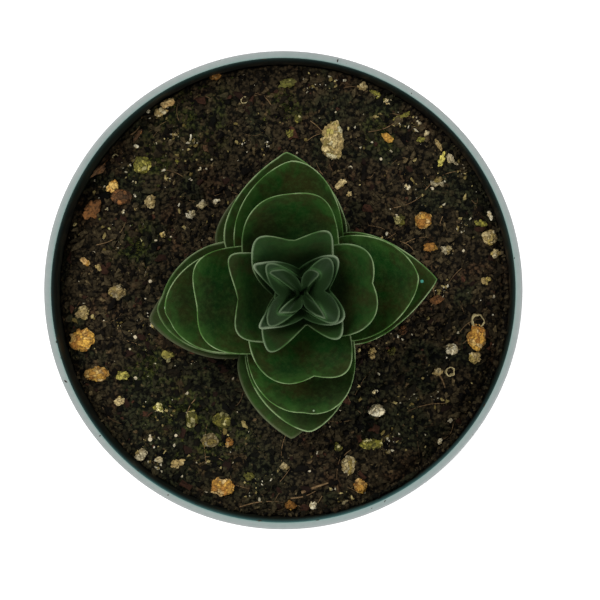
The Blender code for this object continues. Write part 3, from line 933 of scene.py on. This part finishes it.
def roughen(stone, centre, size, seed):
    # grains with creases between them, ridges and pits, in millimetres, on a stone of this size
    perMillimetre = stoneRelief["grains"] / size**0.5
    warp, warpScale = stoneRelief["warp"]
    swelling, swellingScale = stoneRelief["swelling"]
    pits, pitScale = stoneRelief["pits"]
    tints, creases = [], []
    for vertex in stone.data.vertices:
        away = (vertex.co - centre).normalized()
        spot = vertex.co / mm + Vector((seed * 7.3, 0, 0))
        uneven = warp * noise.noise_vector(spot * warpScale)
        (near, second, *_), grains = noise.voronoi((spot + uneven) * perMillimetre)
        crease = 1 - held((second - near) / stoneRelief["creaseWidth"])
        push = swelling * size * noise.noise(spot * swellingScale)
        push += stoneRelief["bulge"] / perMillimetre * (0.5 - near)
        push -= stoneRelief["crease"] / perMillimetre * crease**2
        push += pits * noise.fractal(spot * pitScale, 0.8, 2.1, 3)
        vertex.co += away * push * mm
        tints.append(held(0.5 + 0.5 * noise.cell(grains[0] * 37.0)))
        creases.append(crease)
    setField(stone, "tint", tints)
    setField(stone, "crease", creases)


def makeStones():
    materials = {kind: makeStoneMaterial(kind) for kind in stoneTones}
    names = sorted(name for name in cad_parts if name.startswith("stone_"))
    for number, name in enumerate(names):
        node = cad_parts[name]
        low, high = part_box(name)
        kind = node.data.materials[0].name.split(".")[0].replace("stone_", "")
        stone = newPiece(name.replace("stone", "looseStone"), node.data.copy())
        closeSeams(stone, 0.01 * mm)
        rounding = stone.modifiers.new("Rounding", "SUBSURF")
        rounding.levels = rounding.render_levels = 3
        applyModifiers(stone)
        roughen(stone, (low + high) / 2, min(high.x - low.x, high.y - low.y) / mm, number)
        setField(stone, "shade", stoneShades.get(number + 1, 1.0))
        dress(stone, materials[kind])
        smooth(stone, 40)
        finishPiece(stone, "stone_" + kind, name)
    for kind, rows in littleStones.items():
        makeLittleStones(kind, rows, materials[kind])


def makeChip(spot, scale, rotation, seed, shift):
    # an angular bit of stone, its size in millimetres
    size = scale[1]
    unevenness, frequency = chipShape["unevenness"]
    bpy.ops.mesh.primitive_ico_sphere_add(subdivisions=3, radius=0.5 * mm, location=spot, rotation=rotation)
    chip = bpy.context.object
    chip.scale = scale
    settle(chip)
    for vertex in chip.data.vertices:
        away = vertex.co - spot
        uneven = unevenness * noise.noise(away / mm / size * frequency + shift)
        vertex.co = spot + away * (1 + uneven)
    roughen(chip, spot, size, seed)
    return chip


def onSoil(x, y, lift):
    return Vector((x * mm, y * mm, soilTop(x * mm, y * mm) + lift * mm))


def makeLittleStones(kind, rows, material):
    # each is a little heap of angular chips, and a long one has a core too
    chips = []
    draw = random.Random(len(rows))
    few, many = chipShape["counts"]
    chipLift, liftRange = chipShape["lift"]
    for number, (x, y, length, width, turn, shade) in enumerate(rows):
        turn = math.radians(turn)
        size = min(length, width)
        count = few if size < chipShape["fewUnder"] else many
        heap = []
        if length > chipShape["longFrom"] * width:
            spot = onSoil(x, y, chipShape["coreLift"] * width)
            scale = [part * side for part, side in zip(chipShape["core"], (length, width, width))]
            heap.append(makeChip(spot, scale, (0, 0, turn), number, Vector((x, y, number))))
        for i in range(count):
            reach = chipShape["spread"] * draw.random() ** 0.5
            aside, ahead = around(math.tau * (i + draw.random()) / count, reach)
            along = Vector((aside * length, ahead * width, 0))
            along.rotate(Euler((0, 0, turn)))
            chipSize = size * draw.uniform(*chipShape["widths"])
            lift = chipLift * chipSize + draw.uniform(0, liftRange) * size
            spot = onSoil(x + along.x, y + along.y, lift)
            rotation = [draw.uniform(0, 3) for _ in range(3)]
            stretch = draw.uniform(*chipShape["stretch"])
            scale = (chipSize * stretch, chipSize, chipSize * chipShape["flatness"])
            heap.append(makeChip(spot, scale, rotation, number + i, Vector((number * 3.7 + i, x, y))))
        for chip in heap:
            setField(chip, "tint", draw.random())
            setField(chip, "shade", shade)
        chips += heap
    whole = joined(f"littleStones_{kind}", chips)
    dress(whole, material)
    smooth(whole, 40)
    finishPiece(whole, "stone_" + kind)


def makeHusks():
    shells = []
    crumple, frequency = huskShape["crumple"]
    for number, (x, y, radius) in enumerate(husks):
        sunk = huskShape["sunk"] * radius
        spot = onSoil(x, y, sunk)
        bpy.ops.mesh.primitive_uv_sphere_add(segments=28, ring_count=16, radius=radius * mm, location=spot)
        shell = bpy.context.object
        settle(shell)
        startEdit(shell, action="SELECT")
        bpy.ops.mesh.bisect(
            plane_co=spot + Vector((0, 0, sunk * mm)), plane_no=huskShape["opening"], clear_outer=True
        )
        endEdit()
        wall = shell.modifiers.new("Wall", "SOLIDIFY")
        wall.thickness = huskShape["wall"] * radius * mm
        applyModifiers(shell)
        for vertex in shell.data.vertices:
            away = (vertex.co - spot) / (radius * mm)
            push = noise.noise_vector(away * frequency + Vector((number * 3.1, 0, 0)))
            vertex.co += push * crumple * radius * mm
        shells.append(shell)
    whole = joined("openHusks", shells)
    setField(whole, "tint", 0.8)
    dress(whole, earthCrumbMaterial("huskSkin", (96, 80, 46), (206, 190, 140), 0.6))
    smooth(whole, 50)
    finishPiece(whole, "soil")


makeStones()
makeHusks()
print("stones done")


# Leaves: crossed pairs, each grown together round the stem. The same form as the frame's pairs, finer.

leafForm = {
    "rankTurn": 5.5,
    "stemFoot": (1.6, -1.0),
    "stemLean": (1.5, 0.45),
    "columnHeight": 27.0,
    "full": 2.8,                 # thickness of the body, at the stem and at the edge
    "base": 1.15,
    "edge": 0.8,
    "thickensFrom": 10.0,
    "thickensOver": 5.0,
    "steepShare": 0.5,
    "rowSpacing": 0.85,
    "rowCrowding": 1.9,          # how close the rows of faces stand at the tips
    "shoulder": 0.72,
    "widest": (0.42, 0.52),      # old and young
    "waistBend": 1.6,
    "tipFullness": (2.9, 1.3),
    "cornerFullness": 0.9,
    "notchBend": (1.3, 1.05),
    "trough": 0.7,
    "troughFrom": 0.4,           # share of the reach at which the trough is full
    "youngFrom": 9,
    "youngAt": 12,
    "youthBend": 1.3,
    "youngCrown": 0.42,
    "columns": 84,
    "rows": 52,
    "marginSteps": 360,
    "edgeRounding": (0.2, 0.3),  # how far the upper face rounds off at the margin, old and young
    "keel": 1.4,                 # how far in the underside reaches its full depth
    "ripple": (0.07, 0.45),      # height and how many to a millimetre
    "flatRim": (0.4, 1.5),       # where the ripples start, and how far in they are full
    "shelter": (6.5, 0.9),       # reach of the painted light under the pair above, in from its margin and out from it
}
# height, rise and waist, then for two leaves reach, width, form, notch, slant, shift and notch's place
leafPairs = (
    (1.6, 3.8, 0.55, (20.6, 18.2, 0.90, 0.0, -2.0, 1.6, 0.0), (20.8, 17.6, 0.90, 0.0, 0.0, -1.0, 0.0)),
    (3.6, 4.6, 0.55, (21.0, 17.4, 0.92, 0.0, -0.4, 0.4, 0.0), (24.4, 18.0, 0.79, 0.0, 0.6, 1.0, 0.0)),
    (5.6, 5.3, 0.55, (24.4, 22.6, 1.05, 2.3, -1.8, 3.2, 0.0), (25.2, 19.0, 0.94, 1.6, -0.4, -2.5, 0.0)),
    (7.7, 6.0, 0.55, (21.8, 18.6, 0.92, 0.0, -0.4, 0.8, 0.0), (23.8, 18.9, 0.69, 1.3, 2.6, -2.5, -1.9)),
    (9.8, 6.6, 0.55, (24.0, 20.4, 0.84, 0.7, -4.4, 3.7, 1.3), (22.3, 18.2, 0.68, -0.2, 1.3, -1.2, 0.0)),
    (11.9, 7.2, 0.55, (21.9, 18.5, 0.85, -1.0, -0.3, 0.6, 0.0), (22.4, 17.3, 0.61, 1.1, 1.6, -0.8, 1.6)),
    (14.0, 7.8, 0.55, (21.5, 17.9, 0.62, 0.0, -4.4, 3.2, 0.0), (20.3, 17.7, 0.51, 1.1, 2.3, -1.8, -1.3)),
    (16.1, 8.2, 0.55, (19.6, 17.1, 0.65, 0.2, 0.9, 0.0, 1.2), (17.0, 17.6, 0.27, 0.6, -1.2, 0.8, 1.0)),
    (18.2, 8.4, 0.57, (16.0, 15.7, 0.35, 0.0, -3.0, 2.7, 0.0), (15.5, 16.4, 0.39, 2.2, 4.8, -3.4, 0.6)),
    (20.2, 8.2, 0.60, (13.7, 14.7, 0.45, 2.0, 1.5, -0.8, 0.1), (11.3, 14.4, 0.16, 1.5, -2.2, 1.2, 0.3)),
    (22.0, 6.9, 0.65, (10.3, 13.1, 0.19, 1.9, -2.6, 2.6, -0.1), (10.0, 13.0, 0.27, 5.0, 0.2, -0.4, 0.7)),
    (24.7, 5.8, 0.72, (8.1, 11.1, 0.34, 3.6, 0.6, -0.2, 0.1), (7.9, 10.6, 0.14, 4.2, 0.7, -0.8, 0.0)),
    (25.8, 4.7, 0.66, (7.4, 10.8, 0.42, 5.0, 1.6, -1.0, 0.0), (6.6, 11.6, 0.34, 4.3, -0.8, 0.3, -0.3)),
    (26.7, 3.6, 0.34, (3.7, 7.4, 0.16, 3.1, -2.0, 0.8, 0.2), (5.0, 7.0, 0.13, 4.4, 1.2, -1.7, 0.4)),
)
firstShootPair = 12


def stemAxis(height):
    share = held(height / leafForm["columnHeight"], 0, 1.2)
    return [foot + share * lean for foot, lean in zip(leafForm["stemFoot"], leafForm["stemLean"])]


def youth(number):
    first, last = leafForm["youngFrom"], leafForm["youngAt"]
    return held((number - first + 1) / (last - first + 1)) ** leafForm["youthBend"]


def bladeRise(number, distance, angle):
    _, rise, _, one, other = leafPairs[number - 1]
    young = youth(number)
    reach = 0.5 * (one[0] - one[3] + other[0] - other[3])
    share = distance / reach
    bowl = (1 + young) * share**2 / (1 + young * share**2)
    return rise * bowl * (1 - leafForm["youngCrown"] * young * math.sin(2 * angle) ** 2)


def leafMargin(number, leaf, across):
    _, _, waistShare, one, other = leafPairs[number - 1]
    reach, width, form, notch, slant, shift, aside = leaf
    young = youth(number)
    half = 0.5 * width
    widest = between(*leafForm["widest"], young) * reach
    waist = waistShare * 0.25 * (one[1] + other[1])
    full, loss = leafForm["tipFullness"]
    fullness = between(full - loss * form, leafForm["cornerFullness"] / form, young)
    spot, shoulder = abs(across), leafForm["shoulder"]
    if spot <= shoulder:
        turn = 0.5 * math.pi * spot / shoulder
        side = half * math.sin(turn) ** (2 * form)
        out = widest + (reach - widest) * max(math.cos(turn), 0) ** (2 / fullness)
    else:
        share = (spot - shoulder) / (1 - shoulder)
        side = half - (half - waist) * share ** leafForm["waistBend"]
        out = widest * (1 - share)
    side = math.copysign(side, across)
    middle = max(0, 1 - abs(side - aside) / half)
    out -= notch * middle ** between(*leafForm["notchBend"], young) * min(1, out / widest)
    return out, side + (slant * (out / reach) + shift) * (out / reach)


def bladeSpot(number, along, across):
    # tips at -1 and 1 along, sides at -1 and 1 across
    height, _, _, one, other = leafPairs[number - 1]
    facing = 1 if along >= 0 else -1
    leaf = one if along >= 0 else other
    waist = leafMargin(number, one, 1)[1] * across
    reach = abs(along) ** leafForm["rowSpacing"]
    out, side = leafMargin(number, leaf, across * facing)
    x = reach * out * facing
    y = (1 - reach) * waist + reach * side * facing
    rise = bladeRise(number, math.hypot(x, y), math.atan2(y, x))
    trough = leafForm["trough"] * (1 - youth(number)) * min(1, abs(y) / (0.5 * leaf[1])) ** 3
    trough *= min(1, abs(x) / (leafForm["troughFrom"] * leaf[0]))
    turn = math.radians(leafForm["rankTurn"]) + (0 if number % 2 == 0 else 0.5 * math.pi)
    centreX, centreY = stemAxis(height)
    spot = Vector((
        centreX + x * math.cos(turn) - y * math.sin(turn),
        centreY + x * math.sin(turn) + y * math.cos(turn),
        soilShape["level"] + height + rise + trough,
    ))
    return spot, abs(x)


def bladeDepth(number, along, distance):
    share = held((distance - leafForm["thickensFrom"]) / leafForm["thickensOver"])
    body = between(leafForm["base"], leafForm["full"], share)
    return between(body, leafForm["edge"], along**4) * (1 + leafForm["steepShare"] * youth(number))


def outlineFinder(number):
    # measures how far a spot of the pair lies from the margin, seen from above
    steps = leafForm["marginSteps"]
    points = []
    for facing in (1, -1):
        for i in range(steps):
            spot, _ = bladeSpot(number, facing, (2 * i / steps - 1) * facing)
            points.append(Vector((spot.x, spot.y, 0)))
    tree = kdtree.KDTree(len(points))
    for i, point in enumerate(points):
        tree.insert(point, i)
    tree.balance()

    def distanceTo(spot):
        flat = Vector((spot.x, spot.y, 0))
        _, index, best = tree.find(flat)
        for other in (index - 1, (index + 1) % len(points)):
            near, share = geometry.intersect_point_line(flat, points[index], points[other])
            if 0 <= share <= 1:
                best = min(best, (near - flat).length)
        return best

    return distanceTo


def shadeFinder(number):
    # measures how far a spot lies from what stands above the pair: the next one, or the stem's axis
    if number < len(leafPairs):
        return outlineFinder(number + 1)
    axis = Vector(stemAxis(leafForm["columnHeight"]))

    def distanceTo(spot):
        return (spot.xy - axis).length

    return distanceTo


def evenColumns(number, leaf, facing):
    # spreads the grid's columns evenly along the margin, so that square corners get their share
    samples = 600
    places = [2 * i / samples - 1 for i in range(samples + 1)]
    spots = [leafMargin(number, leaf, place * facing) for place in places]
    lengths = [0.0]
    for (outA, sideA), (outB, sideB) in zip(spots, spots[1:]):
        lengths.append(lengths[-1] + math.hypot(outB - outA, sideB - sideA))
    columns = []
    at = 0
    for i in range(leafForm["columns"] + 1):
        goal = lengths[-1] * i / leafForm["columns"]
        while at < samples - 1 and lengths[at + 1] < goal:
            at += 1
        step = max(lengths[at + 1] - lengths[at], 1e-9)
        columns.append(between(places[at], places[at + 1], held((goal - lengths[at]) / step)))
    columns[0], columns[-1] = -1.0, 1.0
    return columns


def makeSheet(number, under, distanceTo, aboveTo):
    bpy.ops.mesh.primitive_grid_add(
        x_subdivisions=leafForm["columns"], y_subdivisions=leafForm["rows"], size=2
    )
    sheet = bpy.context.object
    young = youth(number)
    rounding = between(*leafForm["edgeRounding"], young)
    one, other = leafPairs[number - 1][3:]
    even = {1: evenColumns(number, one, 1), -1: evenColumns(number, other, -1)}
    fields = {name: [] for name in ("margin", "corner", "side", "paintedLightUnderPair")}
    cornerShare = young * (1 if number <= firstShootPair else 0.4)
    axis = Vector(stemAxis(leafPairs[number - 1][0]))
    ripple, perMillimetre = leafForm["ripple"]
    flatFrom, flatOver = leafForm["flatRim"]
    shelterIn, shelterOut = leafForm["shelter"]
    for vertex in sheet.data.vertices:
        along = math.copysign(1 - (1 - min(abs(vertex.co.y), 1)) ** leafForm["rowCrowding"], vertex.co.y)
        column = round((vertex.co.x + 1) / 2 * leafForm["columns"])
        across = between(vertex.co.x, even[1 if along >= 0 else -1][column], held(2 * abs(along)))
        spot, outward = bladeSpot(number, along, across)
        onEdge = abs(vertex.co.y) > 0.9999 or abs(vertex.co.x) > 0.9999
        inward = 0 if onEdge else distanceTo(spot)
        if under:
            depth = bladeDepth(number, max(abs(along), abs(across) ** 3), outward)
            share = held(inward / leafForm["keel"])
            spot.z -= rounding + max(depth - rounding, 0) * math.sqrt(1 - (1 - share) ** 2)
        else:
            share = held(inward / rounding)
            spot.z -= rounding * (1 - math.sqrt(1 - (1 - share) ** 2))
            calm = held((inward - flatFrom) / flatOver)
            spot.z += ripple * calm * noise.noise(spot * perMillimetre + Vector((number * 9.1, 0, 0)))
        vertex.co = spot * mm
        # the corners of a young leaf get a painted highlight, and where the pair above shades its base it
        # gets painted light
        leaf = one if along >= 0 else other
        out, side = leafMargin(number, leaf, across)
        isCorner = held(abs(side) / (0.5 * leaf[1]) * 2.4 - 1.2) * held(2.2 * out / leaf[0] - 0.6)
        inside = held(1.6 - (spot.xy - axis).length / shelterIn)
        fields["margin"].append(inward)
        fields["corner"].append(cornerShare * isCorner * held(abs(along) * 3 - 1.6))
        fields["side"].append(held((abs(across) - leafForm["shoulder"]) * 7))
        fields["paintedLightUnderPair"].append(young * inside * math.exp(-aboveTo(spot) / shelterOut))
    for name, values in fields.items():
        setField(sheet, name, values)
    setField(sheet, "under", 1.0 if under else 0.0)
    return sheet


def makePair(number, name, node):
    finders = outlineFinder(number), shadeFinder(number)
    pair = joined(name, [makeSheet(number, under, *finders) for under in (False, True)])
    closeSeams(pair, 0.0002 * mm)
    setField(pair, "young", youth(number))
    setField(pair, "age", held((7 - number) / 6))
    smooth(pair, 60)
    dress(pair, leafMaterial)
    finishPiece(pair, "leaf", node)


leafMarks = (                    # pair, place, radius and colour of small spots of dust on the leaves
    (6, -19.4, -2.9, 0.35, (196, 206, 176)),
    (6, 22.6, 1.4, 0.34, (86, 168, 150)),
    (7, 5.0, -19.5, 0.2, (128, 146, 116)),
)


def makeLeafMaterial():
    material, skin, spot = newMaterial("leafSkin", 0.6, 0.10)
    margin, young, age, under = (readField(spot, name) for name in ("margin", "young", "age", "under"))
    corner, side, paintedLightUnderPair = (readField(spot, name) for name in ("corner", "side", "paintedLightUnderPair"))
    patches = cloud(spot, 210, 4, 0.6, 0.4)
    deep = cloud(spot, 90, 2, 0.5)
    fine = cloud(spot, 1300, 4, 0.65)
    # a fresher green near the margin in places
    fresher = span(patches, 0.38, 0.55, 1.0, 0.15)
    band = times(span(margin, 0.1, 2.2, 1.0, 0.0), fresher, calc("SUBTRACT", 1.0, young))
    # face: dark green with olive and brownish patches and a fine mottle
    face = layered(
        mixed(span(patches, 0.36, 0.64), (13, 46, 8), (33, 35, 9)),
        (span(deep, 0.45, 0.65, 0.0, 0.6), (10, 30, 8)),
        (span(fine, 0.42, 0.72, 0.0, 0.42), (42, 62, 26)),
        (span(fine, 0.30, 0.46, 0.35, 0.0), (8, 18, 6)),
        (times(young, 0.85), (15, 30, 11)),
        # painted light that lifts the shade the pair above casts on a young leaf
        (times(paintedLightUnderPair, 0.85), (32, 53, 26)),
        (span(paintedLightUnderPair, 0.45, 1.0, 0.0, 0.8), (66, 100, 56)),
        (times(age, 0.45), (52, 62, 32)),
        (under, mixed(age, (42, 60, 28), (70, 70, 46))),
        (times(band, 0.6), (46, 74, 28)),
    )
    # the pale margin: how wide its line is, and its colours, with a painted highlight on a young leaf's
    # corners
    wander = span(cloud(spot, 420, 3, 0.6), 0.3, 0.7, 0.11, 0.21)
    width = calc("ADD", wander, times(young, 0.07))
    width = calc("ADD", width, times(calc("POWER", age, 2.0), 0.5))
    # the painted corner highlight also widens the line
    width = calc("ADD", width, times(corner, 0.14))
    # painted shade: on a young leaf the pale line fades along the sides, which lie pressed in the gaps
    # between leaves
    shown = calc("SUBTRACT", 1.0, times(young, side, 0.8))
    line = times(span(calc("DIVIDE", margin, width), 0.2, 1.4, 1.0, 0.0), shown)
    tone = cloud(spot, 240, 3, 0.6)
    pale = layered(
        mixed(span(tone, 0.36, 0.64), (64, 98, 42), (126, 144, 102)),
        (span(age, 0.3, 0.75, 0.0, 0.9), (56, 54, 38)),
        (times(young, 0.9), (33, 54, 29)),
        # painted highlight on the corners of a young leaf
        (times(corner, 0.8), (112, 124, 100)),
    )
    leaf = mixed(times(line, 0.9), face, pale)
    for number, x, y, radius, colour in leafMarks:
        height = leafPairs[number - 1][0]
        stemX, stemY = stemAxis(height)
        level = soilShape["level"] + height + bladeRise(number, math.hypot(x - stemX, y - stemY), 0)
        above = calc("SUBTRACT", axes(spot)["Z"], level * mm)
        onLeaf = span(calc("ABSOLUTE", above), 1.0 * mm, 1.4 * mm, 0.9, 0.0)
        mark = span(radiusOf(spot, (x, y)), 0.4 * radius * mm, radius * mm, 1.0, 0.0)
        leaf = mixed(times(mark, onLeaf), leaf, colour)
    papillae = times(cells(spot, 5200)["Distance"], 0.4)
    coat(skin, leaf, calc("SUBTRACT", times(fine, 0.6), papillae), 0.05, 0.6)
    return material


stemShape = {
    "radius": 2.35,
    "length": 40,
    "middle": 5.5,
    "rings": 12,
    "taper": (1.0, 0.7, 2, 24),  # at the soil and the top, where it starts, and over what height
    "foot": (0.5, 15, 4),        # share of the width in the soil, how deep, and over what height it grows
    "ripple": (0.05, 3.0),
    "roughness": (0.06, 700),
}


def makeStem():
    level = soilShape["level"]
    bpy.ops.mesh.primitive_cylinder_add(
        vertices=32, radius=stemShape["radius"] * mm, depth=stemShape["length"] * mm,
        location=(0, 0, (level + stemShape["middle"]) * mm), end_fill_type="TRIFAN",
    )
    stem = bpy.context.object
    stem.name = "stem"
    settle(stem)
    for face in stem.data.polygons:
        face.select = abs(face.normal.z) < 0.5
    pickOnly(stem)
    bpy.ops.object.mode_set(mode="EDIT")
    bpy.ops.mesh.select_mode(type="FACE")
    bpy.ops.mesh.subdivide(number_cuts=stemShape["rings"], quadcorner="INNERVERT")
    endEdit()
    wide, narrow, start, over = stemShape["taper"]
    foot, depth, footOver = stemShape["foot"]
    wave, waveTurn = stemShape["ripple"]
    rough, frequency = stemShape["roughness"]
    for vertex in stem.data.vertices:
        height = vertex.co.z / mm - level
        taper = between(wide, narrow, held((height - start) / over))
        taper *= between(foot, 1.0, held((height + depth) / footOver))
        ripple = wave * math.sin(height * waveTurn) + rough * noise.noise(vertex.co * frequency)
        x, y = stemAxis(height)
        vertex.co.x = vertex.co.x * taper * (1 + ripple) + x * mm
        vertex.co.y = vertex.co.y * taper * (1 + ripple) + y * mm
    smooth(stem, 50)
    setField(stem, "tint", 0.6)
    dress(stem, earthCrumbMaterial("stemBark", (48, 42, 24), (92, 84, 50)))
    finishPiece(stem, "leaf", "stem_and_shoot_tip")


leafMaterial = makeLeafMaterial()
makeStem()
for number in range(1, len(leafPairs) + 1):
    if number < firstShootPair:
        makePair(number, f"leafPair_{number:02d}", f"leaf_pair_{number:02d}")
    else:
        makePair(number, f"shootPair_{number:02d}", "stem_and_shoot_tip")
print("leaves done")


# Stage: a pale floor, soft studio light and the camera above

view = {"place": (2.79, -1.64, 487.0), "lens": 149.8, "sensor": 36.0, "clipStart": 10}
stageLight = {
    "floorSize": 4,              # this and the next in metres
    "aim": 0.07,
    "floor": 0.93,
    "glow": 0.3,
    "sky": (0.96, 0.98, 1.0, 1),
    "skyStrength": 0.35,
}
lamps = (                        # place and size in metres, and power
    ((-0.42, 0.36, 0.85), 0.55, 7.5),
    ((0.55, -0.25, 0.70), 0.60, 4.0),
    ((0.0, -0.6, 0.55), 0.50, 1.6),
)


def makeStage():
    bpy.ops.mesh.primitive_plane_add(size=stageLight["floorSize"])
    floor = bpy.context.object
    floor.name = "floor"
    material, skin, _ = newMaterial("paleFloor", 0.9, 0.1)
    skin["Base Color"].default_value = (*[stageLight["floor"]] * 3, 1)
    skin["Emission Color"].default_value = (1, 1, 1, 1)
    skin["Emission Strength"].default_value = stageLight["glow"]
    dress(floor, material)
    for i, (spot, size, power) in enumerate(lamps):
        toPlant = Vector((0, 0, stageLight["aim"])) - Vector(spot)
        bpy.ops.object.light_add(
            type="AREA", location=spot, rotation=toPlant.to_track_quat("-Z", "Y").to_euler()
        )
        lamp = bpy.context.object
        lamp.name = f"softbox_{i}"
        lamp.data.size = size
        lamp.data.energy = power
    world = bpy.data.worlds.new("studio")
    world.use_nodes = True
    sky = world.node_tree.nodes["Background"].inputs
    sky["Color"].default_value = stageLight["sky"]
    sky["Strength"].default_value = stageLight["skyStrength"]
    bpy.context.scene.world = world
    bpy.context.scene.view_settings.view_transform = "Standard"


def makeCamera():
    bpy.ops.object.camera_add(location=Vector(view["place"]) * mm, rotation=(0, 0, 0))
    camera = bpy.context.object
    camera.data.lens = view["lens"]
    camera.data.sensor_width = view["sensor"]
    camera.data.clip_start = view["clipStart"] * mm
    bpy.context.scene.camera = camera


makeStage()
makeCamera()
print("stage and camera done")
